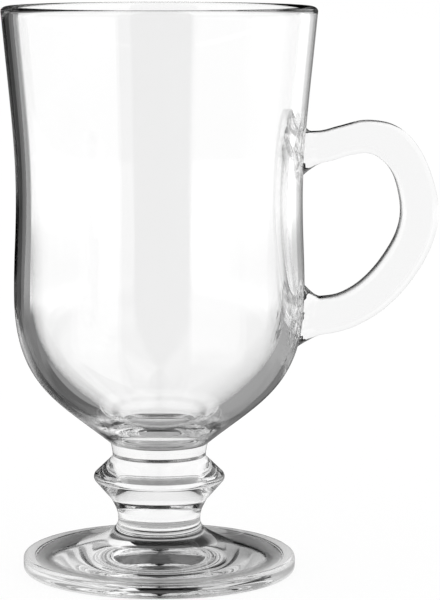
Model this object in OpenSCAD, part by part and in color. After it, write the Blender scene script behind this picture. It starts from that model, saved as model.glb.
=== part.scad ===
// Irish coffee mug in clear glass: a tulip cup on a short knopped stem and a round
// foot, with one strap handle. The pieces are hot fused, so they meet face to face.
// The origin is on the cup's axis, in the plane that the foot rests on. +Z is up and
// the handle reaches out along +X.

/* [Foot] */
// Diameter of the foot
foot_d = 66.2; // [58:0.1:76]
// Height of the foot, from the table up to the waist of the stem
foot_h = 12.2; // [10:0.1:16]
// Thickness of the foot's edge
foot_edge_t = 3.9; // [3:0.1:5]
// Rounding of the upper side of the foot's edge
foot_edge_round = 1.2; // [0.4:0.1:1.4]
// Rounding of the lower side of the foot's edge
foot_base_round = 0.8; // [0.4:0.1:1.6]
// Width of the ring that the foot rests on
foot_ring_w = 2.4; // [1:0.1:6]
// Height of the hollow under the foot, inside that ring
foot_hollow_h = 1.6; // [0.5:0.1:3]

/* [Stem] */
// Height of the stem, from the foot up to the cup
stem_h = 16.7; // [12:0.1:30]
// Diameter of the stem's waist, where it grows out of the foot
stem_waist_d = 20; // [14:0.1:24]
// Diameter over the knop
knop_d = 31.8; // [26:0.1:38]
// Radius of the knop's rounded edge
knop_round = 1.3; // [0.6:0.1:2]
// Slope of the knop's upper face, from level
knop_upper_slope = 44; // [38:1:50]
// Slope of the knop's lower face, from level
knop_lower_slope = 49; // [42:1:54]
// Slope of the stem where it tapers from the knop into its waist, from level
stem_taper_slope = 62; // [54:1:76]
// Diameter of the neck between the knop and the cup
neck_d = 22.7; // [18:0.1:25]

/* [Cup] */
// Height of the cup, from the neck up to the lip
cup_h = 107.6; // [90:0.1:130]
// Diameter over the lip
rim_d = 75.5; // [70:0.1:84]
// Diameter at the cup's waist, the narrowest place of its side
waist_d = 68.8; // [64:0.1:69.6]
// Diameter over the belly under the waist
belly_d = 70; // [69:0.1:76]
// Thickness of the wall from the lip down to the waist
wall_t = 3.4; // [2:0.1:4.5]
// Height over which the lip is rounded off
lip_round_h = 1.2; // [0.8:0.1:2.4]
// Thickness of the wall at the belly
belly_wall_t = 4.1; // [2.5:0.1:6]
// Thickness of the glass under the middle of the cup's floor
floor_t = 5.4; // [4:0.1:9]
// Diameter of the small well in the middle of the cup's floor
well_d = 20.6; // [16:0.1:26]
// Depth of that well
well_h = 3; // [2:0.1:4]
// Slope of the cup's underside where it runs into the neck, from level
cup_base_slope = 40; // [34:1:46]

/* [Handle] */
// Reach of the handle's middle line, out from the belly
handle_reach = 27.4; // [22:0.1:36]
// Height between the middles of the handle's two roots
handle_span = 41; // [32:0.1:52]
// Height of the lower root's middle above the neck
handle_root_h = 33; // [28:0.1:40]
// Width of the strap at the side of the handle, seen from the front
strap_w = 8.9; // [7:0.1:11]
// Thickness of the strap from its front face to its back face
strap_t = 9.2; // [6:0.1:12]
// Rounding of the strap's four edges
strap_round = 1.5; // [1:0.1:2.5]
// Height of the fillets above and below the roots, where the handle is fused to the cup
root_fillet = 3; // [1:0.1:3.3]
// Height of the fillet on top of the upper root, which is tighter
root_top_fillet = 1.1; // [0.6:0.1:3]

/* [Hidden] */
$fn = 128;

glass_tint = [0.86, 0.9, 0.91, 0.45];

// Radii
foot_r = foot_d / 2;
stem_waist_r = stem_waist_d / 2;
knop_r = knop_d / 2;
neck_r = neck_d / 2;
rim_r = rim_d / 2;
waist_r = waist_d / 2;
belly_r = belly_d / 2;

// Heights above the table
neck_z = foot_h + stem_h;
lip_z = neck_z + cup_h;

// Heights in the stem and the cup, as shares of their own heights
knop_share = 0.63;
lower_blend_share = 0.31;
upper_blend_share = 0.9;
cup_corner_share = 0.021;
belly_share = 0.361;
waist_share = 0.582;

knop_z = foot_h + knop_share * stem_h;
cup_corner_z = neck_z + cup_corner_share * cup_h;
belly_z = neck_z + belly_share * cup_h;
waist_z = neck_z + waist_share * cup_h;
floor_z = neck_z + floor_t;

// Pulls of the curves' ends, as shares of the height that a curve crosses
flare_pull_share = 0.46;
dome_pull_share = 0.62;
belly_pull_share = 0.61;
base_pull_share = 0.46;
waist_pull_share = 0.4;
rim_pull_share = 0.46;
waist_rise_share = 0.28;
cavity_side_share = 0.51;
cavity_bowl_share = 0.63;
well_floor_share = 0.62;
well_side_share = 0.55;
well_edge_share = 0.6;

// Where the rounded edge of the well begins and ends, as shares of the well's depth
well_under_share = 0.33;
well_over_share = 0.6;

// Slopes of the foot's top at its edge, of the cup's side at its lip, and of the
// well's side and the bowl round it, from level
foot_top_slope = 8;
lip_lean = 5.3;
well_slope = 53;
bowl_slope = 31;

// Steps along one curve and round one rounded edge
curve_steps = 14;
round_steps = 6;

// Points of a curve from a to d that leaves towards b and arrives from c, without a itself
function curve(a, b, c, d) =
    [for (i = [1 : curve_steps])
        let (t = i / curve_steps, s = 1 - t)
        s * s * s * a + 3 * s * s * t * b + 3 * s * t * t * c + t * t * t * d];

// Points of a rounded edge, between two angles: its reach across may differ from its height
function rounded(centre, reach, height, from, to) =
    [for (i = [0 : round_steps])
        let (angle = from + (to - from) * i / round_steps)
        centre + [reach * cos(angle), height * sin(angle)]];
function arc(centre, radius, from, to) = rounded(centre, radius, radius, from, to);

// Foot: outline from the middle of its underside, round the edge and up to the stem
foot_ring_out_r = foot_r - foot_base_round;
foot_ring_in_r = foot_ring_out_r - foot_ring_w;
foot_hollow_r = foot_ring_in_r - foot_hollow_h;
foot_dome_r = foot_r - foot_edge_round + foot_edge_round * sin(foot_top_slope);
foot_dome_z = foot_edge_t - foot_edge_round + foot_edge_round * cos(foot_top_slope);
foot_dome_reach = (foot_r - stem_waist_r) * dome_pull_share;
foot_flare_drop = (foot_h - foot_dome_z) * flare_pull_share;

foot_outline = concat(
    [[0, foot_hollow_h]],
    curve([0, foot_hollow_h], [foot_hollow_r / 2, foot_hollow_h],
        [foot_ring_in_r - foot_hollow_h, foot_hollow_h * flare_pull_share], [foot_ring_in_r, 0]),
    arc([foot_ring_out_r, foot_base_round], foot_base_round, -90, 0),
    arc([foot_r - foot_edge_round, foot_edge_t - foot_edge_round], foot_edge_round,
        0, 90 - foot_top_slope),
    curve([foot_dome_r, foot_dome_z],
        [foot_dome_r - foot_dome_reach * cos(foot_top_slope),
            foot_dome_z + foot_dome_reach * sin(foot_top_slope)],
        [stem_waist_r, foot_h - foot_flare_drop], [stem_waist_r, foot_h]),
    [[0, foot_h]]);

// Stem: the knop's two sloping faces meet at its rounded edge
knop_edge_r = knop_r - knop_round;
knop_low_angle = knop_lower_slope - 90;
knop_high_angle = 90 - knop_upper_slope;
knop_low = [knop_edge_r, knop_z] + knop_round * [cos(knop_low_angle), sin(knop_low_angle)];
knop_high = [knop_edge_r, knop_z] + knop_round * [cos(knop_high_angle), sin(knop_high_angle)];
lower_blend_z = foot_h + lower_blend_share * stem_h;
upper_blend_z = foot_h + upper_blend_share * stem_h;
lower_blend_r = knop_low[0] - (knop_low[1] - lower_blend_z) / tan(knop_lower_slope);
upper_blend_r = knop_high[0] - (upper_blend_z - knop_high[1]) / tan(knop_upper_slope);
lower_blend_h = (lower_blend_z - foot_h) * waist_pull_share;
upper_blend_h = (neck_z - upper_blend_z) * waist_pull_share;

stem_outline = concat(
    [[0, foot_h], [stem_waist_r, foot_h]],
    curve([stem_waist_r, foot_h], [stem_waist_r, foot_h + lower_blend_h],
        [lower_blend_r - lower_blend_h / tan(stem_taper_slope), lower_blend_z - lower_blend_h],
        [lower_blend_r, lower_blend_z]),
    arc([knop_edge_r, knop_z], knop_round, knop_low_angle, knop_high_angle),
    [[upper_blend_r, upper_blend_z]],
    curve([upper_blend_r, upper_blend_z],
        [upper_blend_r - upper_blend_h / tan(knop_upper_slope), upper_blend_z + upper_blend_h],
        [neck_r, neck_z - upper_blend_h], [neck_r, neck_z]),
    [[0, neck_z]]);

// Cup: its outer side from the neck up to the rounded lip
lip_round = wall_t / 2;
lip_side_z = lip_z - lip_round_h;
cup_corner_r = neck_r + (cup_corner_z - neck_z) / 5;
belly_drop = (belly_z - cup_corner_z) * belly_pull_share;
base_rise = (belly_z - cup_corner_z) * base_pull_share;
waist_rise = (lip_side_z - waist_z) * waist_rise_share;
rim_drop = (lip_side_z - waist_z) * rim_pull_share;
belly_to_waist = (waist_z - belly_z) * waist_pull_share;

cup_base_outline = concat(
    [[neck_r, neck_z], [cup_corner_r, cup_corner_z]],
    curve([cup_corner_r, cup_corner_z],
        [cup_corner_r + base_rise * cos(cup_base_slope), cup_corner_z + base_rise * sin(cup_base_slope)],
        [belly_r, belly_z - belly_drop], [belly_r, belly_z]));

// The side above the belly, which lies one wall further in on the inside
function cup_side(belly_in, wall_in) = concat(
    curve([belly_r - belly_in, belly_z], [belly_r - belly_in, belly_z + belly_to_waist],
        [waist_r - wall_in, waist_z - belly_to_waist], [waist_r - wall_in, waist_z]),
    curve([waist_r - wall_in, waist_z], [waist_r - wall_in, waist_z + waist_rise],
        [rim_r - wall_in - rim_drop * tan(lip_lean), lip_side_z - rim_drop],
        [rim_r - wall_in, lip_side_z]));

cup_outside = concat(cup_base_outline, cup_side(0, 0));

// The hollow of the cup, from the belly down to the well in the middle of the floor.
// The well's side and the bowl would meet at well_corner, and their edge is rounded.
cavity_r = belly_r - belly_wall_t;
well_corner = [well_d / 2, floor_z + well_h];
well_under = well_corner - well_h * well_under_share * [cos(well_slope), sin(well_slope)];
well_over = well_corner + well_h * well_over_share * [cos(bowl_slope), sin(bowl_slope)];
cavity_h = belly_z - well_corner[1];
bowl_reach = (cavity_r - well_over[0]) * cavity_bowl_share;
well_rise = (well_under[1] - floor_z) * well_side_share;

cavity_base = concat(
    curve([cavity_r, belly_z], [cavity_r, belly_z - cavity_h * cavity_side_share],
        well_over + bowl_reach * [1, tan(bowl_slope)], well_over),
    curve(well_over, well_over + (well_corner - well_over) * well_edge_share,
        well_under + (well_corner - well_under) * well_edge_share, well_under),
    curve(well_under, well_under - well_rise * [1 / tan(well_slope), 1],
        [well_under[0] * well_floor_share, floor_z], [0, floor_z]));
cavity_side = cup_side(belly_wall_t, wall_t);

cup_outline = concat(
    [[0, neck_z]],
    cup_outside,
    rounded([rim_r - lip_round, lip_side_z], lip_round, lip_round_h, 0, 180),
    [for (i = [len(cavity_side) - 2 : -1 : 0]) cavity_side[i]],
    [[cavity_r, belly_z]],
    cavity_base);

// Handle: stations from the upper root round to the lower one. Each has its reach out
// from the belly as a share of handle_reach, its height over the lower root as a share
// of handle_span, and its width as a share of strap_w.
handle_route_shares = [
    [-0.06, 0.998, 0.83],
    [0.16, 1.006, 0.8],
    [0.34, 1.039, 0.78],
    [0.55, 1.062, 0.85],
    [0.757, 1.014, 0.97],
    [0.915, 0.872, 0.93],
    [1, 0.65, 0.98],
    [0.955, 0.465, 0.96],
    [0.8, 0.28, 0.945],
    [0.6, 0.135, 0.92],
    [0.38, 0.045, 0.91],
    [0.17, 0.011, 0.955],
    [-0.06, 0.006, 1.02]];
last_station = len(handle_route_shares) - 1;

// Most of the strap's half thickness that a rounded edge takes up
edge_depth_share = 0.85;
// How far a fillet reaches along the strap, as a share of its height, and how it fades
fillet_reach_share = 1.45;
fillet_power = 1.5;

root_rings = 12;
span_rings = 4;
corner_steps = 4;

handle_root_z = neck_z + handle_root_h;
handle_stations = [for (s = handle_route_shares)
    [belly_r + s[0] * handle_reach, handle_root_z + s[1] * handle_span, s[2] * strap_w]];

// A smooth run through the stations, at any place between the first and the last
function station(i) = handle_stations[max(0, min(last_station, i))];
function along(place) =
    let (i = min(floor(place), last_station - 1), t = place - i,
        a = station(i - 1), b = station(i), c = station(i + 1), d = station(i + 2))
    b + t * (c - a) / 2 + t * t * (a - 2.5 * b + 2 * c - d / 2)
        + t * t * t * (1.5 * (b - c) + (d - a) / 2);

// Rings lie close together in the roots' fillets and further apart in between
handle_places = concat(
    [for (i = [0 : root_rings - 1]) i / root_rings],
    [for (i = [span_rings : span_rings * (last_station - 1) - 1]) i / span_rings],
    [for (i = [0 : root_rings]) last_station - 1 + i / root_rings]);

cup_side_heights = [for (p = cup_outside) [p[1], p[0]]];

// How far a fillet of this height stands out from the strap at a distance from the wall
function fillet_rise(fillet, distance) =
    fillet * pow(1 - max(0, min(1, distance / (fillet * fillet_reach_share))), fillet_power);

// Points round one ring, whose middle is at the place. Its rounded edges are drawn out
// where a root's fillet rises.
function ring(place) =
    let (here = along(place), probe = 0.01,
        ahead = along(min(last_station, place + probe)), behind = along(max(0, place - probe)),
        run = [ahead[0] - behind[0], ahead[1] - behind[1]], out = [-run[1], run[0]] / norm(run),
        wall = lookup(here[1], cup_side_heights), distance = here[0] - wall,
        upper = place < last_station / 2,
        rise = fillet_rise(root_fillet, distance),
        rise_out = upper ? fillet_rise(root_top_fillet, distance) : rise,
        half_w = here[2] / 2,
        half_t = strap_t / 2,
        fade = max(0, 1 - max(0, distance) / (2 * root_fillet)))
    [for (corner = [0 : 3], j = [0 : corner_steps])
        let (angle = 90 * corner + 90 * j / corner_steps,
            outer = corner == 0 || corner == 3,
            drawn = outer ? rise_out : rise,
            edge = min(half_t * edge_depth_share, strap_round + drawn),
            across = (outer ? 1 : -1) * (half_w - strap_round) + (strap_round + drawn) * cos(angle),
            depth = (corner < 2 ? 1 : -1) * (half_t - edge) + edge * sin(angle),
            sag = wall - sqrt(wall * wall - depth * depth))
        [here[0] + across * out[0] - sag * fade, depth, here[1] + across * out[1]]];

ring_size = 4 * (corner_steps + 1);
ring_count = len(handle_places);

handle_points = [for (place = handle_places) each ring(place)];
handle_faces = concat(
    [for (i = [0 : ring_count - 2], j = [0 : ring_size - 1])
        let (a = i * ring_size + j, b = i * ring_size + (j + 1) % ring_size)
        each [[a, b, b + ring_size], [a, b + ring_size, a + ring_size]]],
    [for (j = [1 : ring_size - 2]) [0, j + 1, j]],
    [for (j = [1 : ring_size - 2])
        (ring_count - 1) * ring_size * [1, 1, 1] + [0, j, j + 1]]);

module foot() {
    color(glass_tint)
        rotate_extrude()
            polygon(foot_outline);
}

module stem() {
    color(glass_tint)
        rotate_extrude()
            polygon(stem_outline);
}

module cup() {
    color(glass_tint)
        rotate_extrude()
            polygon(cup_outline);
}

module handle() {
    color(glass_tint)
        difference() {
            polyhedron(handle_points, handle_faces);
            rotate_extrude()
                polygon(concat([[0, neck_z]], cup_outside, [[0, lip_side_z]]));
        }
}

foot();
stem();
cup();
handle();
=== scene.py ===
import math

import bmesh
import bpy
from bpy.props import FloatProperty, FloatVectorProperty, IntProperty, PointerProperty
from bpy.types import Operator, Panel, PropertyGroup
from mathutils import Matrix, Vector
from mathutils.geometry import interpolate_bezier


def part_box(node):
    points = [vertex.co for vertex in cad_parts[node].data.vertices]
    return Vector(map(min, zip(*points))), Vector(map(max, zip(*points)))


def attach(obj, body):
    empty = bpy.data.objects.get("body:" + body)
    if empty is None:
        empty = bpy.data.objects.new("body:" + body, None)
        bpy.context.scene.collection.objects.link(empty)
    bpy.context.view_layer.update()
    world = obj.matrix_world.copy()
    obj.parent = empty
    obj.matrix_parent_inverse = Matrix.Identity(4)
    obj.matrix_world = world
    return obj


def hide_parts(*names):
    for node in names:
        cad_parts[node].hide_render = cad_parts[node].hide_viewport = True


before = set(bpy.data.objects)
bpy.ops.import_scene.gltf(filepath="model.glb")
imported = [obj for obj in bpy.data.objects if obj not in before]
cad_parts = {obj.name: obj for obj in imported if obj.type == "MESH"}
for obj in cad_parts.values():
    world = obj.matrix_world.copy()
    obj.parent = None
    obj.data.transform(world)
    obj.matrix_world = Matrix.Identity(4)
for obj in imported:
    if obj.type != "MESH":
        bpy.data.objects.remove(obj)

bl_info = {
    "name": "Irish coffee mug",
    "version": (1, 0, 0),
    "blender": (4, 5, 0),
    "location": "3D View > Sidebar > Mug",
    "description": "Makes a footed glass mug with a strap handle, piece by piece, and its stage",
    "category": "Add Mesh",
}

MM = 0.001
BODY = "root"
# Place of the seam finish among a piece's materials: the clear glass comes first
SEAM = 1
# Points closer than this are one point, in metres
SAME_PLACE = 1e-6
FOOT_LOW, FOOT_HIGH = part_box("foot")
STEM_LOW, STEM_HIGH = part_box("stem")
CUP_LOW, CUP_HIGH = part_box("cup")


def size(name, description, value):
    """A length that a user may change, in metres."""
    return FloatProperty(name=name, description=description, default=value, unit="LENGTH", precision=5)


def slope(name, description, degrees):
    """An angle that a user may change."""
    return FloatProperty(name=name, description=description, default=math.radians(degrees), unit="ROTATION")


class FootSizes(PropertyGroup):
    """Sizes of the round foot."""
    diameter: size("Diameter", "Across the foot's edge", FOOT_HIGH.x - FOOT_LOW.x)
    height: size("Height", "From the table up to the waist of the stem", FOOT_HIGH.z)
    edge: size("Edge", "Thickness of the foot's edge", 3.9 * MM)
    edge_round: size("Edge rounding", "Rounding on the upper side of the edge", 1.2 * MM)
    base_round: size("Base rounding", "Rounding on the lower side of the edge", 0.8 * MM)
    ring: size("Ring", "Width of the ring that the foot rests on", 2.4 * MM)
    hollow: size("Hollow", "Height of the hollow inside the ring", 1.6 * MM)
    top_slope: slope("Top slope", "Slope of the foot's top at its edge", 8)


class StemSizes(PropertyGroup):
    """Sizes of the stem and its knop."""
    waist: size("Waist", "Diameter where the stem grows out of the foot", 20 * MM)
    knop: size("Knop", "Diameter over the knop", STEM_HIGH.x - STEM_LOW.x)
    knop_round: size("Knop rounding", "Radius of the knop's rounded edge", 1.3 * MM)
    upper_slope: slope("Upper slope", "Slope of the knop's upper face", 44)
    lower_slope: slope("Lower slope", "Slope of the knop's lower face", 49)
    taper: slope("Taper", "Slope of the stem as it tapers into its waist", 62)
    neck: size("Neck", "Diameter between the knop and the cup", 22.7 * MM)


class CupSizes(PropertyGroup):
    """Sizes of the cup."""
    rim: size("Rim", "Diameter over the lip", CUP_HIGH.x - CUP_LOW.x)
    waist: size("Waist", "Diameter at the narrowest place of the side", 68.8 * MM)
    belly: size("Belly", "Diameter under the waist", 70 * MM)
    wall: size("Wall", "Thickness of the wall from the lip down to the waist", 3.4 * MM)
    belly_wall: size("Belly wall", "Thickness of the wall at the belly", 4.1 * MM)
    lip: size("Lip", "Height over which the lip is rounded off", 1.2 * MM)
    floor: size("Floor", "Thickness of the glass under the cup's floor", 5.4 * MM)
    well: size("Well", "Diameter of the small well in the middle of the floor", 20.6 * MM)
    well_depth: size("Well depth", "Depth of that well", 3 * MM)
    well_slope: slope("Well slope", "Slope of the well's side", 53)
    bowl_slope: slope("Bowl slope", "Slope of the cup's inside where it runs into the well", 31)
    base_slope: slope("Base slope", "Slope of the underside where it runs into the neck", 40)
    lip_lean: slope("Lip lean", "Lean of the side at the lip", 5.3)


class HandleSizes(PropertyGroup):
    """Sizes of the strap handle."""
    reach: size("Reach", "Reach of the middle line, out from the belly", 27.4 * MM)
    span: size("Span", "Height between the middles of the two roots", 41 * MM)
    root: size("Root height", "Height of the lower root's middle above the neck", 33 * MM)
    width: size("Width", "Width of the strap, seen from its side", 8.9 * MM)
    thickness: size("Thickness", "From the strap's front face to its back face", 9.2 * MM)
    rounding: size("Rounding", "Rounding of the strap's four edges", 1.5 * MM)
    fillet: size("Fillet", "Height of the fillets above and below the roots", 3 * MM)
    top_fillet: size("Top fillet", "Height of the fillet on top of the upper root", 1.1 * MM)


class GlassFinish(PropertyGroup):
    """Finish of the clear glass."""
    tint: FloatVectorProperty(name="Tint", description="Colour of the glass", subtype="COLOR",
        size=4, min=0, max=1, default=(1, 1, 1, 1))
    ior: FloatProperty(name="Index", description="How strongly the glass bends light", default=1.5)
    roughness: FloatProperty(name="Roughness", description="Most roughness anywhere on the surface",
        default=0.03)
    waves: size("Waves", "Height of the slow waves that pressing leaves in the surface", 0.004 * MM)
    wave_size: size("Wave size", "Distance from one slow wave to the next", 14 * MM)
    haze_size: size("Haze size", "Width of the slightly rough patches", 11 * MM)
    haze_start: FloatProperty(name="Haze start",
        description="Noise height where a rough patch starts; it is full at one minus this", default=0.45)
    creases: size("Creases", "Height of the creases round the handle's roots", 2.4 * MM)
    crease_size: size("Crease size", "Distance from one crease to the next", 3 * MM)
    crease_reach: size("Crease reach", "How far the creases reach round the middle of a root", 11 * MM)
    crease_depth: size("Crease depth", "How deep inside the cup's side that middle lies", 7 * MM)


class StageSettings(PropertyGroup):
    """Floor, light and camera."""
    camera_place: FloatVectorProperty(name="Camera", description="Where the camera stands",
        subtype="TRANSLATION", unit="LENGTH", default=(0, -651.1 * MM, 155.06 * MM))
    camera_tilt: slope("Tilt", "How far the camera looks down", 7.795)
    camera_shift: FloatProperty(name="Shift",
        description="How far the picture is cropped towards the handle", default=0.10125)
    lens: FloatProperty(name="Lens", description="Focal length in millimetres", default=163.43)
    floor_colour: FloatVectorProperty(name="Floor", description="Colour of the floor",
        subtype="COLOR", size=4, min=0, max=1, default=(0.9, 0.9, 0.9, 1))
    floor_width: size("Floor width", "Width of the floor", 8)


class MugSettings(PropertyGroup):
    """All sizes and finishes of the mug."""
    foot: PointerProperty(type=FootSizes)
    stem: PointerProperty(type=StemSizes)
    cup: PointerProperty(type=CupSizes)
    handle: PointerProperty(type=HandleSizes)
    glass: PointerProperty(type=GlassFinish)
    stage: PointerProperty(type=StageSettings)
    turn_steps: IntProperty(name="Steps", description="Steps round a turned piece",
        default=192, min=24, max=256)


def point(radius, height):
    """A point of an outline, in the plane of the handle."""
    return Vector((radius, 0, height))


def toward(start, angle, distance):
    """The point at a distance from another, at an angle above level."""
    return start + distance * point(math.cos(angle), math.sin(angle))


def curve(start, leave, arrive, end, steps):
    """A smooth run of points that leaves towards one point and arrives from another."""
    return interpolate_bezier(start, leave, arrive, end, steps + 1)


def rounded(centre, reach, height, start, end, steps):
    """Points of a rounded edge between two angles. Its reach may differ from its height."""
    angles = [start + (end - start) * i / steps for i in range(steps + 1)]
    return [centre + point(reach * math.cos(a), height * math.sin(a)) for a in angles]


def without_repeats(outline):
    """The outline with each place once."""
    kept = outline[:1]
    for place in outline[1:]:
        if (place - kept[-1]).length > SAME_PLACE:
            kept.append(place)
    return kept


# Steps along the parts of the foot's outline
HOLLOW_STEPS, EDGE_STEPS, TOP_STEPS = 40, 8, 64
# How far the foot's curves hold their first and last direction, as shares of the room that they have
HOLLOW_PULL, DOME_PULL, FLARE_PULL = 0.46, 0.62, 0.46


def foot_outline(foot, stem):
    """From the middle of the underside, round the edge and up to the stem."""
    radius, waist = foot.diameter / 2, stem.waist / 2
    ring_out = radius - foot.base_round
    ring_in = ring_out - foot.ring
    base_centre = point(ring_out, foot.base_round)
    edge_centre = point(radius - foot.edge_round, foot.edge - foot.edge_round)
    edge_end = math.pi / 2 - foot.top_slope
    dome = toward(edge_centre, edge_end, foot.edge_round)
    dome_pull = DOME_PULL * (radius - waist)
    flare_pull = FLARE_PULL * (foot.height - dome.z)
    hollow = curve(point(0, foot.hollow), point((ring_in - foot.hollow) / 2, foot.hollow),
        point(ring_in - foot.hollow, HOLLOW_PULL * foot.hollow), point(ring_in, 0), HOLLOW_STEPS)
    base = rounded(base_centre, foot.base_round, foot.base_round, -math.pi / 2, 0, EDGE_STEPS)
    edge = rounded(edge_centre, foot.edge_round, foot.edge_round, 0, edge_end, EDGE_STEPS)
    top = curve(dome, toward(dome, math.pi - foot.top_slope, dome_pull),
        point(waist, foot.height - flare_pull), point(waist, foot.height), TOP_STEPS)
    return without_repeats([*hollow, *base, *edge, *top, point(0, foot.height)])


# Heights on the stem as shares of its own: end of the taper, middle of the knop, start of the neck's blend
TAPER_END, KNOP_MIDDLE, BLEND_START = 0.31, 0.63, 0.9
# How far the stem's curves hold their direction, as a share of their height
STEM_PULL = 0.4
# Steps along the parts of the stem's outline
TAPER_STEPS, FACE_STEPS, KNOP_STEPS, BLEND_STEPS = 20, 6, 14, 12


def stem_outline(stem, low, high):
    """From the foot up over the knop to the neck."""
    waist, neck = stem.waist / 2, stem.neck / 2
    tall = high - low
    knop_centre = point(stem.knop / 2 - stem.knop_round, low + KNOP_MIDDLE * tall)
    low_angle, high_angle = stem.lower_slope - math.pi / 2, math.pi / 2 - stem.upper_slope
    knop_low = toward(knop_centre, low_angle, stem.knop_round)
    knop_high = toward(knop_centre, high_angle, stem.knop_round)
    lower_z, upper_z = low + TAPER_END * tall, low + BLEND_START * tall
    lower = point(knop_low.x - (knop_low.z - lower_z) / math.tan(stem.lower_slope), lower_z)
    upper = point(knop_high.x - (upper_z - knop_high.z) / math.tan(stem.upper_slope), upper_z)
    lower_pull, upper_pull = STEM_PULL * (lower_z - low), STEM_PULL * (high - upper_z)
    taper = curve(point(waist, low), point(waist, low + lower_pull),
        toward(lower, math.pi + stem.taper, lower_pull / math.sin(stem.taper)), lower, TAPER_STEPS)
    knop = rounded(knop_centre, stem.knop_round, stem.knop_round, low_angle, high_angle, KNOP_STEPS)
    under_face = [lower.lerp(knop_low, i / FACE_STEPS) for i in range(1, FACE_STEPS)]
    over_face = [knop_high.lerp(upper, i / FACE_STEPS) for i in range(1, FACE_STEPS)]
    blend_leave = toward(upper, math.pi - stem.upper_slope, upper_pull / math.sin(stem.upper_slope))
    blend = curve(upper, blend_leave, point(neck, high - upper_pull), point(neck, high), BLEND_STEPS)
    middle_low, middle_high = point(0, low), point(0, high)
    return without_repeats([middle_low, *taper, *under_face, *knop, *over_face, *blend, middle_high])


class CupShape:
    """The outer side and the hollow of the cup, as runs of points."""

    # Heights as shares of the cup's own: corner over the neck, belly, waist
    CORNER_HEIGHT, BELLY_HEIGHT, WAIST_HEIGHT = 0.021, 0.361, 0.582
    # Height of the slanting step up to that corner, over its width
    CORNER_RISE = 5
    # How far the curves hold their first and last direction, as shares of the room that they have
    BASE_PULLS = 0.46, 0.61
    WELL_PULLS = 0.62, 0.55
    WELL_EDGE_PULL = 0.6
    BOWL_PULLS = 0.63, 0.51
    WAIST_PULL = 0.4
    LIP_PULLS = 0.28, 0.46
    # Where the rounded edge of the well starts and ends, from its corner, as shares of the well's depth
    WELL_EDGE_UNDER, WELL_EDGE_OVER = 0.33, 0.6
    # Steps along the parts of the outline
    BASE_STEPS, WELL_STEPS, WELL_EDGE_STEPS, BOWL_STEPS = 56, 24, 10, 56
    LOWER_SIDE_STEPS, UPPER_SIDE_STEPS, LIP_STEPS = 24, 36, 16

    def __init__(self, cup, stem, low, high):
        self.low = low
        tall, neck, belly = high - low, stem.neck / 2, cup.belly / 2
        self.belly_z, self.waist_z = low + self.BELLY_HEIGHT * tall, low + self.WAIST_HEIGHT * tall
        self.side_z = high - cup.lip
        step = self.CORNER_HEIGHT * tall
        corner = point(neck + step / self.CORNER_RISE, low + step)
        rise = self.belly_z - corner.z
        leave, arrive = self.BASE_PULLS
        base = curve(corner, toward(corner, cup.base_slope, leave * rise),
            point(belly, self.belly_z - arrive * rise), point(belly, self.belly_z), self.BASE_STEPS)
        self.outside = without_repeats([point(neck, low), *base, *self.side(cup, 0, 0)])
        cavity, floor_z = belly - cup.belly_wall, low + cup.floor
        well = point(cup.well / 2, floor_z + cup.well_depth)
        under = toward(well, math.pi + cup.well_slope, self.WELL_EDGE_UNDER * cup.well_depth)
        over = toward(well, cup.bowl_slope, self.WELL_EDGE_OVER * cup.well_depth)
        leave, arrive = self.WELL_PULLS
        well_floor = curve(point(0, floor_z), point(leave * under.x, floor_z),
            under.lerp(well, -arrive * (under.z - floor_z) / (well.z - under.z)), under, self.WELL_STEPS)
        well_edge = curve(under, under.lerp(well, self.WELL_EDGE_PULL), over.lerp(well, self.WELL_EDGE_PULL),
            over, self.WELL_EDGE_STEPS)
        leave, arrive = self.BOWL_PULLS
        bowl = curve(over, over.lerp(well, -leave * (cavity - over.x) / (over.x - well.x)),
            point(cavity, self.belly_z - arrive * (self.belly_z - well.z)), point(cavity, self.belly_z),
            self.BOWL_STEPS)
        side = self.side(cup, cup.belly_wall, cup.wall)
        self.inside = without_repeats([*well_floor, *well_edge, *bowl, *side])

    def side(self, cup, belly_in, wall_in):
        """The side from the belly up to the lip, moved in by a wall."""
        belly, waist = cup.belly / 2 - belly_in, cup.waist / 2 - wall_in
        rim = cup.rim / 2 - wall_in
        pull = self.WAIST_PULL * (self.waist_z - self.belly_z)
        tall = self.side_z - self.waist_z
        lower = curve(point(belly, self.belly_z), point(belly, self.belly_z + pull),
            point(waist, self.waist_z - pull), point(waist, self.waist_z), self.LOWER_SIDE_STEPS)
        leave, arrive = self.LIP_PULLS
        upper = curve(point(waist, self.waist_z), point(waist, self.waist_z + leave * tall),
            point(rim - arrive * tall * math.tan(cup.lip_lean), self.side_z - arrive * tall),
            point(rim, self.side_z), self.UPPER_SIDE_STEPS)
        return [*lower, *upper]

    def outline(self, cup):
        """The whole outline, from the neck over the lip and down to the middle of the floor."""
        lip = cup.wall / 2
        over = rounded(point(cup.rim / 2 - lip, self.side_z), lip, cup.lip, 0, math.pi, self.LIP_STEPS)
        return without_repeats([point(0, self.low), *self.outside, *over, *reversed(self.inside)])

    def radius(self, height):
        """Radius of the outer side at a height."""
        for under, over in zip(self.outside, self.outside[1:]):
            if height <= over.z:
                break
        return under.x + (over.x - under.x) * (height - under.z) / (over.z - under.z)

    def wall(self, across, height):
        """How far out the outer side lies at a place across the handle and a height."""
        return math.sqrt(self.radius(height) ** 2 - across ** 2)


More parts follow.
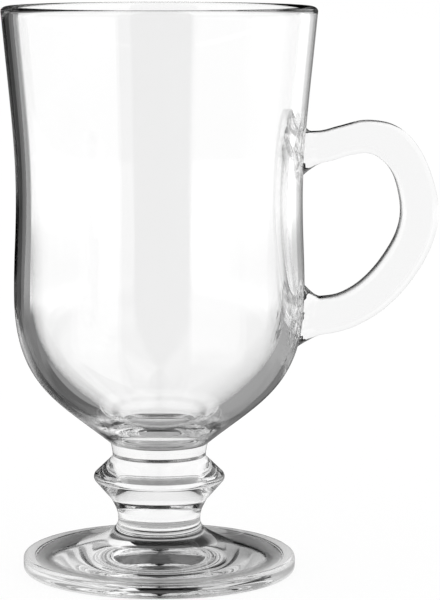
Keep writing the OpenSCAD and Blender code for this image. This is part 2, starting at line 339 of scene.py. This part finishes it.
class StrapShape:
    """The route and the cross-section of the handle's strap."""

    # Reach out from the belly, height over the lower root and width, as shares of those sizes, from the upper
    # root to the lower one
    ROUTE_SHARES = ((-0.06, 0.998, 0.83), (0.16, 1.006, 0.8), (0.34, 1.039, 0.78), (0.55, 1.062, 0.85),
        (0.757, 1.014, 0.97), (0.915, 0.872, 0.93), (1, 0.65, 0.98), (0.955, 0.465, 0.96),
        (0.8, 0.28, 0.945), (0.6, 0.135, 0.92), (0.38, 0.045, 0.91), (0.17, 0.011, 0.955),
        (-0.06, 0.006, 1.02))
    # Points of the route from one of these stations to the next
    ROUTE_STEPS = 24
    # At a station the route keeps its direction for the way between its neighbours, divided by this
    ROUTE_PULL = 6
    # Most of the half thickness that a rounded edge takes up
    WEB_SHARE = 0.85
    # Corners of the section: side along the width, side along the thickness and the angle where it starts
    CORNERS = ((1, 1, 0), (-1, 1, 90), (-1, -1, 180), (1, -1, 270))
    CORNER_STEPS = 8
    FLAT_STEPS = 6
    # How far a fillet reaches out from the cup, as a share of its height
    FILLET_REACH = 1.45
    # How quickly a fillet falls away from the cup: 1 would be a straight slope
    FILLET_POWER = 1.5
    # Distance from the cup, in fillet heights, at which the section stops following the cup's side
    LEVEL_REACH = 2
    # Rings in each root's fillets, and rings from one station to the next
    FILLET_RINGS = 12
    STATION_RINGS = 10
    # Distance along the route, either way, over which its direction is taken
    RUN_REACH = 0.5
    # Halvings in the search for a place on the route
    HALVINGS = 40

    def __init__(self, handle, belly, neck_z, wall):
        self.handle, self.wall = handle, wall
        root_z = neck_z + handle.root
        stations = [Vector((belly + out * handle.reach, width * handle.width, root_z + up * handle.span))
            for out, up, width in self.ROUTE_SHARES]
        ends = [stations[0], *stations, stations[-1]]
        self.route = []
        for a, b, c, d in zip(ends, ends[1:], ends[2:], ends[3:]):
            leave, arrive = b + (c - a) / self.ROUTE_PULL, c - (d - b) / self.ROUTE_PULL
            self.route += curve(b, leave, arrive, c, self.ROUTE_STEPS)[:-1]
        self.route.append(stations[-1])
        self.half = len(self.route) // 2

    def at(self, place):
        """The middle of the strap and its width, at a place along the route."""
        i = min(int(place), len(self.route) - 2)
        return self.route[i].lerp(self.route[i + 1], place - i)

    def gap(self, place):
        """Distance from the cup's side, measured level through the middle of the strap."""
        here = self.at(place)
        return here.x - self.wall(0, here.z)

    def place_at_gap(self, gap, near, far):
        """The place along the route where the strap has this distance from the cup."""
        for _ in range(self.HALVINGS):
            middle = (near + far) / 2
            if self.gap(middle) < gap:
                near = middle
            else:
                far = middle
        return (near + far) / 2

    def places(self):
        """Places of the rings: close together in the roots' fillets, then evenly along the strap."""
        reach, last = self.FILLET_REACH * self.handle.fillet, len(self.route) - 1
        gaps = [reach * (1 - math.cos(math.pi / 2 * i / self.FILLET_RINGS))
            for i in range(self.FILLET_RINGS + 1)]
        upper = [self.place_at_gap(gap, 0, self.half) for gap in gaps]
        lower = [self.place_at_gap(gap, last, self.half) for gap in reversed(gaps)]
        count = self.STATION_RINGS * (len(self.ROUTE_SHARES) - 2)
        between = [upper[-1] + (lower[0] - upper[-1]) * i / count for i in range(1, count)]
        return upper, between, lower

    def rise(self, fillet, gap):
        """How far a fillet stands out from the strap at this distance from the cup."""
        left = 1 - max(0, min(1, gap / (self.FILLET_REACH * fillet)))
        return fillet * left ** self.FILLET_POWER

    def ring(self, place):
        """Points round the strap at a place along the route."""
        handle, here = self.handle, self.at(place)
        ahead = self.at(min(place + self.RUN_REACH, len(self.route) - 1))
        behind = self.at(max(place - self.RUN_REACH, 0))
        run = Vector((ahead.x - behind.x, 0, ahead.z - behind.z)).normalized()
        out = Vector((-run.z, 0, run.x))
        upper, gap = place < self.half, self.gap(place)
        near = max(0, 1 - max(0, gap) / (self.LEVEL_REACH * handle.fillet))
        level = Vector((0, 0, math.copysign(1, out.z)))
        out = out.lerp(level, near).normalized()
        rise = self.rise(handle.fillet, gap)
        rise_out = self.rise(handle.top_fillet, gap) if upper else rise
        middle = Vector((here.x, 0, here.z))
        root = self.wall(0, here.z)
        places = []
        for across, depth in self.section(here.y / 2, rise, rise_out):
            spot = middle + out * across + Vector((0, depth, 0))
            spot.x += (self.wall(depth, spot.z) - root) * near
            places.append(spot)
        return places

    def section(self, half_width, rise, rise_out):
        """The cross-section: a rounded rectangle whose edges are drawn out where a fillet rises."""
        round_edge, half_thickness = self.handle.rounding, self.handle.thickness / 2
        corners = []
        for side_a, side_d, start in self.CORNERS:
            reach = round_edge + (rise_out if side_a > 0 else rise)
            depth = min(self.WEB_SHARE * half_thickness, reach)
            for i in range(self.CORNER_STEPS + 1):
                angle = math.radians(start + 90 * i / self.CORNER_STEPS)
                corners.append((side_a * (half_width - round_edge) + reach * math.cos(angle),
                    side_d * (half_thickness - depth) + depth * math.sin(angle)))
        section = []
        for i, (across, depth) in enumerate(corners):
            section.append((across, depth))
            if i % (self.CORNER_STEPS + 1) == self.CORNER_STEPS:
                next_across, next_depth = corners[(i + 1) % len(corners)]
                section += [(across + (next_across - across) * j / self.FLAT_STEPS,
                    depth + (next_depth - depth) * j / self.FLAT_STEPS) for j in range(1, self.FLAT_STEPS)]
        return section


def turned(outline, steps):
    """A solid of revolution: the outline spun once round the axis."""
    mesh = bmesh.new()
    chain = [mesh.verts.new(place) for place in outline]
    rails = [mesh.edges.new(pair) for pair in zip(chain, chain[1:])]
    bmesh.ops.spin(mesh, geom=chain + rails, cent=(0, 0, 0), axis=(0, 0, 1), angle=math.tau,
        steps=steps, use_merge=True)
    bmesh.ops.remove_doubles(mesh, verts=mesh.verts, dist=SAME_PLACE)
    bmesh.ops.recalc_face_normals(mesh, faces=mesh.faces)
    return mesh


# A face is level when its direction points at least this much up or down
LEVEL = 0.999
# Two faces that meet at more than this angle keep a sharp edge between them
SHARP_ANGLE = math.radians(24)


def mark_flat_seams(mesh, *heights):
    """Gives the level faces at these heights, where two pieces are fused, the seam finish."""
    for face in mesh.faces:
        face_z = face.calc_center_median().z
        if abs(face.normal.z) > LEVEL and any(abs(face_z - z) < SAME_PLACE for z in heights):
            face.material_index = SEAM


def smooth_shading(mesh):
    """Smooth shading, but for the sharp edges."""
    for face in mesh.faces:
        face.smooth = True
    for edge in mesh.edges:
        edge.smooth = edge.calc_face_angle(0) < SHARP_ANGLE


def linked_object(mesh, name, *materials):
    """Makes an object of the mesh and frees the mesh."""
    data = bpy.data.meshes.new(name)
    mesh.to_mesh(data)
    mesh.free()
    for material in materials:
        data.materials.append(material)
    made = bpy.data.objects.new(name, data)
    bpy.context.scene.collection.objects.link(made)
    return made


def finished_piece(mesh, name, node):
    """Makes an object of the mesh, in glass, that rides on the mug and stands for its node."""
    smooth_shading(mesh)
    piece = linked_object(mesh, name, clear_glass(bpy.context.scene.glass_mug), fused_seam())
    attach(piece, BODY)
    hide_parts(node)


def new_material(name):
    """An empty node material and its output."""
    material = bpy.data.materials.new(name)
    material.use_nodes = True
    material.node_tree.nodes.clear()
    return material, material.node_tree.nodes.new("ShaderNodeOutputMaterial")


def fill_ramp(ramp, stops, low, high):
    """Fills a colour ramp with greys."""
    while len(ramp.elements) > 1:
        ramp.elements.remove(ramp.elements[-1])
    for i, (where, value) in enumerate(stops):
        spot = (where - low) / (high - low)
        element = ramp.elements[0] if i == 0 else ramp.elements.new(spot)
        element.position = spot
        element.color = (value, value, value, 1)


class Wiring:
    """Adds nodes to a tree and links them, so that a tree reads like a sum."""

    # Degrees from straight behind the mug to straight in front of it
    HALF_TURN = 180
    # The count of mirrorings is above this for light that a face has mirrored
    LEAST_MIRRORED = 0.5

    def __init__(self, tree):
        self.nodes, self.links = tree.nodes, tree.links

    def add(self, kind, **settings):
        """A node with these settings."""
        node = self.nodes.new("ShaderNode" + kind)
        for name, value in settings.items():
            setattr(node, name, value)
        return node

    def feed(self, socket, value):
        """Gives a socket a number or the result of another node."""
        if isinstance(value, (int, float)):
            socket.default_value = value
        else:
            self.links.new(value, socket)

    def sum(self, operation, *values):
        """The result of a sum."""
        node = self.add("Math", operation=operation)
        for socket, value in zip(node.inputs, values):
            self.feed(socket, value)
        return node.outputs["Value"]

    def graded(self, value, low, high):
        """A value as a share of the way from low to high."""
        node = self.add("MapRange")
        self.feed(node.inputs["Value"], value)
        node.inputs["From Min"].default_value = low
        node.inputs["From Max"].default_value = high
        return node.outputs["Result"]

    def noise(self, place, spacing, detail):
        """Random heights with about this distance from one to the next."""
        node = self.add("TexNoise")
        node.inputs["Scale"].default_value = 1 / spacing
        node.inputs["Detail"].default_value = detail
        self.feed(node.inputs["Vector"], place)
        return node.outputs["Fac"]

    def near(self, place, middle, reach):
        """1 at a point, falling to 0 at this distance from it."""
        node = self.add("VectorMath", operation="DISTANCE")
        self.feed(node.inputs[0], place)
        node.inputs[1].default_value = middle
        return self.graded(node.outputs["Value"], reach, 0)

    def bump(self, height, most, normal=None):
        """A surface direction tilted by heights up to this much."""
        node = self.add("Bump")
        node.inputs["Distance"].default_value = most
        self.feed(node.inputs["Height"], height)
        if normal:
            self.feed(node.inputs["Normal"], normal)
        return node.outputs["Normal"]

    def ramp(self, value, stops, low, high, blend="LINEAR"):
        """A brightness looked up in a table of stops between low and high."""
        node = self.add("ValToRGB")
        node.color_ramp.interpolation = blend
        fill_ramp(node.color_ramp, stops, low, high)
        self.feed(node.inputs["Fac"], self.graded(value, low, high))
        return node.outputs["Color"]

    def cards(self, where, degrees, rows):
        """Brightness of the card, standing in the world or painted on the floor, at this height or distance,
        and in this direction.
        """
        shown = 1
        for leave, reach, cards in rows:
            row = self.ramp(degrees, cards, -self.HALF_TURN, self.HALF_TURN, "CONSTANT")
            shown = self.between(self.graded(where, leave, reach), shown, row)
        return shown

    def between(self, share, first, second):
        """A brightness between two others."""
        node = self.add("Mix", data_type="FLOAT")
        self.feed(node.inputs[0], share)
        self.feed(node.inputs[2], first)
        self.feed(node.inputs[3], second)
        return node.outputs[0]

    def degrees_round(self, axes):
        """Degrees round the mug, from straight behind it to the right."""
        turn = self.sum("ARCTAN2", axes.outputs["X"], axes.outputs["Y"])
        return self.sum("MULTIPLY", turn, math.degrees(1))

    def mirrored(self):
        """1 for light that a glass face has mirrored, 0 for light that came straight through."""
        path = self.add("LightPath")
        return self.sum("GREATER_THAN", path.outputs["Glossy Depth"], self.LEAST_MIRRORED)


# How many finer layers the noise of the waves, the creases and the rough patches has
WAVE_DETAIL, CREASE_DETAIL, HAZE_DETAIL = 1, 2, 2


def clear_glass(mug):
    """Clear pressed glass: slow waves, a trace of roughness, and creases where the handle is fused on."""
    found = bpy.data.materials.get("clear_glass")
    if found:
        return found
    finish = mug.glass
    material, output = new_material("clear_glass")
    wiring = Wiring(material.node_tree)
    shader = wiring.add("BsdfPrincipled")
    shader.inputs["Base Color"].default_value = finish.tint
    shader.inputs["Transmission Weight"].default_value = 1
    shader.inputs["IOR"].default_value = finish.ior
    place = wiring.add("TexCoord").outputs["Object"]
    waves = wiring.bump(wiring.noise(place, finish.wave_size, WAVE_DETAIL), finish.waves)
    crease_x, lower_z = mug.cup.belly / 2 - finish.crease_depth, CUP_LOW.z + mug.handle.root
    roots = [wiring.near(place, (crease_x, 0, height), finish.crease_reach)
        for height in (lower_z, lower_z + mug.handle.span)]
    crease_noise = wiring.noise(place, finish.crease_size, CREASE_DETAIL)
    creases = wiring.sum("MULTIPLY", crease_noise, wiring.sum("MAXIMUM", *roots))
    wiring.feed(shader.inputs["Normal"], wiring.bump(creases, finish.creases, waves))
    haze_noise = wiring.noise(place, finish.haze_size, HAZE_DETAIL)
    haze = wiring.graded(haze_noise, finish.haze_start, 1 - finish.haze_start)
    wiring.feed(shader.inputs["Roughness"], wiring.sum("MULTIPLY", haze, finish.roughness))
    wiring.feed(output.inputs["Surface"], shader.outputs["BSDF"])
    return material


def fused_seam():
    """The faces inside the glass where two pieces are fused: light goes straight through."""
    found = bpy.data.materials.get("fused_seam")
    if found:
        return found
    material, output = new_material("fused_seam")
    clear = material.node_tree.nodes.new("ShaderNodeBsdfTransparent")
    material.node_tree.links.new(clear.outputs["BSDF"], output.inputs["Surface"])
    return material


def extruded_ring(mesh, ring, places):
    """Extrudes a ring of vertices on to new places, and returns the new ring in the same order."""
    edges = [mesh.edges.get(pair) for pair in zip(ring, ring[1:] + ring[:1])]
    made = bmesh.ops.extrude_edge_only(mesh, edges=edges)["geom"]
    fresh = [item for item in made if isinstance(item, bmesh.types.BMVert)]
    known = set(ring)
    partner = {}
    for vertex in fresh:
        for edge in vertex.link_edges:
            other = edge.other_vert(vertex)
            if other in known:
                partner[other] = vertex
    new_ring = [partner[vertex] for vertex in ring]
    for vertex, place in zip(new_ring, places):
        vertex.co = place
    return new_ring


# Sizes of the rings inside a root pad, as shares of its outline
PAD_RINGS = (0.8, 0.6, 0.4, 0.2)


def close_root(mesh, ring, wall):
    """Closes the strap's end with a face that lies on the cup's side."""
    before = set(mesh.faces)
    centre = sum((vertex.co for vertex in ring), Vector()) / len(ring)
    for share_left in PAD_RINGS:
        places = []
        for vertex in ring:
            spot = centre.lerp(vertex.co, share_left)
            spot.x = wall(spot.y, spot.z)
            places.append(spot)
        ring = extruded_ring(mesh, ring, places)
    mesh.faces.new(ring)
    for face in mesh.faces:
        if face not in before:
            face.material_index = SEAM


def make_strap(shape):
    """The strap swept along its route, with its root pads closed on the cup."""
    upper, between, lower = shape.places()
    places = [*upper, *between, *lower]
    mesh = bmesh.new()
    first = [mesh.verts.new(spot) for spot in shape.ring(places[0])]
    for pair in zip(first, first[1:] + first[:1]):
        mesh.edges.new(pair)
    ring = first
    for place in places[1:]:
        ring = extruded_ring(mesh, ring, shape.ring(place))
    close_root(mesh, ring, shape.wall)
    close_root(mesh, first, shape.wall)
    bmesh.ops.recalc_face_normals(mesh, faces=mesh.faces)
    return mesh


# Faces of the cup's side up to this far above and below a root pad may be cut
BAND_MARGIN = 2 * MM
# How near a face has to be to a cut before it is cut
CUT_MARGIN = 0.02 * MM
# A cut this close to a point goes through the point
CUT_SNAP = 1e-8
# Two sides of a pad are one straight side when they turn by less than this, in radians
STRAIGHT = 1e-3


def each_once(items):
    """The items in order, each of them once."""
    return list(dict.fromkeys(items))


def side_of(start, end, spot):
    """Above 0 for a spot on one side of a line across the cup's side, and below 0 on the other."""
    return (end.y - start.y) * (spot.z - start.z) - (end.z - start.z) * (spot.y - start.y)


def imprint(mesh, pad, wall_radius):
    """Cuts the outline of a root pad into the cup's side and gives the faces inside it the seam finish."""
    lowest, highest = min(spot.z for spot in pad) - BAND_MARGIN, max(spot.z for spot in pad) + BAND_MARGIN
    band = []
    for face in mesh.faces:
        middle = face.calc_center_median()
        if middle.x > 0 and math.hypot(middle.x, middle.y) > wall_radius and lowest < middle.z < highest:
            band.append(face)
    runs, start = [], pad[0]
    for here, ahead in zip(pad[1:] + pad[:1], pad[2:] + pad[:2]):
        side_a, side_b = here - start, ahead - here
        if abs(side_a.y * side_b.z - side_a.z * side_b.y) > STRAIGHT * side_a.length * side_b.length:
            runs.append((start, here))
            start = here
    for a, b in runs:
        low_y, high_y = min(a.y, b.y) - CUT_MARGIN, max(a.y, b.y) + CUT_MARGIN
        low_z, high_z = min(a.z, b.z) - CUT_MARGIN, max(a.z, b.z) + CUT_MARGIN
        cut = []
        for face in band:
            ys, zs = [v.co.y for v in face.verts], [v.co.z for v in face.verts]
            if min(ys) <= high_y and max(ys) >= low_y and min(zs) <= high_z and max(zs) >= low_z:
                cut.append(face)
        edges = each_once(edge for face in cut for edge in face.edges)
        verts = each_once(vertex for face in cut for vertex in face.verts)
        made = bmesh.ops.bisect_plane(mesh, geom=[*cut, *edges, *verts], dist=CUT_SNAP, plane_co=a,
            plane_no=Vector((0, b.z - a.z, a.y - b.y)).normalized())["geom"]
        fresh = [item for item in made if isinstance(item, bmesh.types.BMFace)]
        band = each_once([face for face in band if face.is_valid] + fresh)
    for face in band:
        sides = [side_of(a, b, face.calc_center_median()) for a, b in runs]
        if min(sides) > 0 or max(sides) < 0:
            face.material_index = SEAM


def cup_and_strap(mug):
    """The shapes of the cup and of the strap that is fused to its side."""
    cup = CupShape(mug.cup, mug.stem, CUP_LOW.z, CUP_HIGH.z)
    return cup, StrapShape(mug.handle, mug.cup.belly / 2, CUP_LOW.z, cup.wall)


class MUG_OT_make_foot(Operator):
    """Makes the round foot"""
    bl_idname = "mug.make_foot"
    bl_label = "Foot"
    bl_options = {"REGISTER", "UNDO"}

    def execute(self, context):
        mug = context.scene.glass_mug
        mesh = turned(foot_outline(mug.foot, mug.stem), mug.turn_steps)
        mark_flat_seams(mesh, mug.foot.height)
        finished_piece(mesh, "round_foot", "foot")
        return {"FINISHED"}


class MUG_OT_make_stem(Operator):
    """Makes the stem with its knop"""
    bl_idname = "mug.make_stem"
    bl_label = "Stem"
    bl_options = {"REGISTER", "UNDO"}

    def execute(self, context):
        mug = context.scene.glass_mug
        mesh = turned(stem_outline(mug.stem, STEM_LOW.z, STEM_HIGH.z), mug.turn_steps)
        mark_flat_seams(mesh, STEM_LOW.z, STEM_HIGH.z)
        finished_piece(mesh, "knopped_stem", "stem")
        return {"FINISHED"}


class MUG_OT_make_cup(Operator):
    """Makes the tulip-shaped cup, with the handle's root pads cut into its side"""
    bl_idname = "mug.make_cup"
    bl_label = "Cup"
    bl_options = {"REGISTER", "UNDO"}

    def execute(self, context):
        mug = context.scene.glass_mug
        cup, strap = cup_and_strap(mug)
        mesh = turned(cup.outline(mug.cup), mug.turn_steps)
        mark_flat_seams(mesh, CUP_LOW.z)
        upper, _, lower = strap.places()
        for place in (upper[0], lower[-1]):
            imprint(mesh, strap.ring(place), mug.cup.belly / 2 - mug.cup.wall)
        finished_piece(mesh, "tulip_cup", "cup")
        return {"FINISHED"}


class MUG_OT_make_handle(Operator):
    """Makes the strap handle"""
    bl_idname = "mug.make_handle"
    bl_label = "Handle"
    bl_options = {"REGISTER", "UNDO"}

    def execute(self, context):
        _, strap = cup_and_strap(context.scene.glass_mug)
        finished_piece(make_strap(strap), "strap_handle", "handle")
        return {"FINISHED"}


# Brightness of the cards that the glass mirrors. Each row takes over from the row before between two heights,
# which are sines of the angle above level, and each card in it starts at a number of degrees round the mug:
# 0 is straight behind it and 90 to the right.
WALL_CARDS = (
    (-1, -0.99, ((-180, 0), (-150, 0.55), (-60, 0.6), (-45, 0.15), (-30, 0), (12, 0.1), (30, 0.6), (75, 0.7),
        (155, 0))),
    (0.19, 0.23, ((-180, 0), (-150, 0.55), (-90, 0.5), (-50, 0), (15, 1.05), (155, 0))),
    (0.45, 0.55, ((-180, 0), (-150, 0.65), (-40, 0.1), (40, 1.15), (120, 0.6), (155, 0))))
# The same for the floor, between two distances from the mug's axis in metres, painted into its glow
# for mirrored light only: painted shade under the foot, then painted grey and bright cards
FLOOR_PAINTED_SHADE_AND_CARDS = (
    (-1, 0, ((-180, 0.4),)),
    (0.013, 0.015, ((-180, 0.5),)),
    (0.019, 0.021, ((-180, 0),)),
    (0.024, 0.026, ((-180, 0.85),)),
    (0.033, 0.035, ((-180, 0), (-150, 0.6), (-120, 0.3), (-60, 0.1), (-25, 0.35), (155, 0))),
    (0.09, 0.11, ((-180, 0), (-150, 0.9), (-110, 0.4), (-70, 0.2), (-30, 0.05), (13, 0.15), (26, 0.4),
        (110, 1), (155, 0))),
    (0.3, 0.6, ((-180, 0), (-150, 1.3), (-50, 0.2), (-36, 0.15), (-30, 0), (-12, 0.1), (3, 0.25), (12, 0.35),
        (21, 0.7), (28, 1.1), (40, 1.5), (110, 1.2), (155, 0))))
# Brightness that the floor's glow paints where it isn't mirrored, by that distance: painted soft shade under
# the foot, then white
FLOOR_PAINTED_SHADE = ((0, 0.95), (0.015, 0.85), (0.021, 0.35), (0.026, 0.4), (0.03, 0.9), (0.032, 1.02))
# Distance that the table of the painted shade spans
PAINTED_SHADE_SPAN = 0.064
# Share of the floor's own light, which carries the painted shade, in what is seen of it. The rest is lit by
# the studio and shows the shadow.
FLOOR_GLOW = 0.88
# How often light may turn on its way through the glass
BOUNCES = 32
# Distances between which the camera sees, in metres
NEAREST, FARTHEST = 0.01, 50


def studio_world():
    """White behind the glass, and grey and bright cards round it for what the glass mirrors."""
    world = bpy.data.worlds.new("studio")
    bpy.context.scene.world = world
    world.use_nodes = True
    world.node_tree.nodes.clear()
    wiring = Wiring(world.node_tree)
    direction = wiring.add("TexCoord")
    axes = wiring.add("SeparateXYZ")
    wiring.feed(axes.inputs["Vector"], direction.outputs["Generated"])
    degrees = wiring.degrees_round(axes)
    cards = wiring.cards(axes.outputs["Z"], degrees, WALL_CARDS)
    shown = wiring.between(wiring.mirrored(), 1, cards)
    back = wiring.add("Background")
    wiring.feed(back.inputs["Color"], shown)
    output = wiring.add("OutputWorld")
    wiring.feed(output.inputs["Surface"], back.outputs["Background"])


def floor_finish(settings):
    """A pale floor that glows: white round the mug, with the shadow on its lit part and a painted shade under
    the foot, and mirrored in the glass as painted grey and bright cards.
    """
    material, output = new_material("pale_floor")
    wiring = Wiring(material.node_tree)
    place = wiring.add("TexCoord")
    axes = wiring.add("SeparateXYZ")
    wiring.feed(axes.inputs["Vector"], place.outputs["Object"])
    squares = [wiring.sum("POWER", axes.outputs[axis], 2) for axis in ("X", "Y")]
    distance = wiring.sum("SQRT", wiring.sum("ADD", *squares))
    degrees = wiring.degrees_round(axes)
    # Painted shade under the foot and painted grey and bright cards, which only mirrored light sees
    cards = wiring.cards(distance, degrees, FLOOR_PAINTED_SHADE_AND_CARDS)
    mirrored = wiring.mirrored()
    matt = wiring.add("BsdfDiffuse")
    matt.inputs["Color"].default_value = settings.floor_colour
    # The glow carries the painted shade for straight light and the painted cards for mirrored light
    glow = wiring.add("Emission")
    painted_shade = wiring.ramp(distance, FLOOR_PAINTED_SHADE, 0, PAINTED_SHADE_SPAN)
    wiring.feed(glow.inputs["Color"], wiring.between(mirrored, painted_shade, cards))
    mix = wiring.add("MixShader")
    wiring.feed(mix.inputs[0], wiring.between(mirrored, FLOOR_GLOW, 1))
    wiring.feed(mix.inputs[1], matt.outputs["BSDF"])
    wiring.feed(mix.inputs[2], glow.outputs["Emission"])
    wiring.feed(output.inputs["Surface"], mix.outputs["Shader"])
    return material


def stage_camera(settings):
    """A camera on the mug's middle plane that looks down at it."""
    lens = bpy.data.cameras.new("camera")
    lens.lens = settings.lens
    lens.shift_x = settings.camera_shift
    lens.clip_start = NEAREST
    lens.clip_end = FARTHEST
    camera = bpy.data.objects.new("camera", lens)
    camera.location = settings.camera_place
    camera.rotation_euler = (math.pi / 2 - settings.camera_tilt, 0, 0)
    bpy.context.scene.collection.objects.link(camera)
    return camera


class MUG_OT_make_stage(Operator):
    """Makes the floor, the light and the camera"""
    bl_idname = "mug.make_stage"
    bl_label = "Stage"
    bl_options = {"REGISTER", "UNDO"}

    def execute(self, context):
        scene, settings = context.scene, context.scene.glass_mug.stage
        scene.view_settings.view_transform = "Standard"
        scene.cycles.max_bounces = BOUNCES
        scene.cycles.transmission_bounces = BOUNCES
        scene.cycles.glossy_bounces = BOUNCES
        scene.cycles.transparent_max_bounces = BOUNCES
        studio_world()
        mesh = bmesh.new()
        bmesh.ops.create_grid(mesh, x_segments=1, y_segments=1, size=settings.floor_width / 2)
        floor = linked_object(mesh, "floor", floor_finish(settings))
        scene.camera = stage_camera(settings)
        return {"FINISHED"}


OPERATORS = (MUG_OT_make_foot, MUG_OT_make_stem, MUG_OT_make_cup, MUG_OT_make_handle, MUG_OT_make_stage)


class MUG_PT_pieces(Panel):
    """Buttons for the pieces of the mug"""
    bl_label = "Irish coffee mug"
    bl_idname = "MUG_PT_pieces"
    bl_space_type = "VIEW_3D"
    bl_region_type = "UI"
    bl_category = "Mug"

    def draw(self, context):
        for operator in OPERATORS:
            self.layout.operator(operator.bl_idname)


CLASSES = (FootSizes, StemSizes, CupSizes, HandleSizes, GlassFinish, StageSettings, MugSettings,
    *OPERATORS, MUG_PT_pieces)


def register():
    for each in CLASSES:
        bpy.utils.register_class(each)
    bpy.types.Scene.glass_mug = PointerProperty(type=MugSettings)


def unregister():
    del bpy.types.Scene.glass_mug
    for each in reversed(CLASSES):
        bpy.utils.unregister_class(each)


def main():
    register()
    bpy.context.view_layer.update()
    bpy.ops.mug.make_foot()
    bpy.ops.mug.make_stem()
    bpy.ops.mug.make_cup()
    bpy.ops.mug.make_handle()
    bpy.ops.mug.make_stage()


if __name__ == "__main__":
    main()
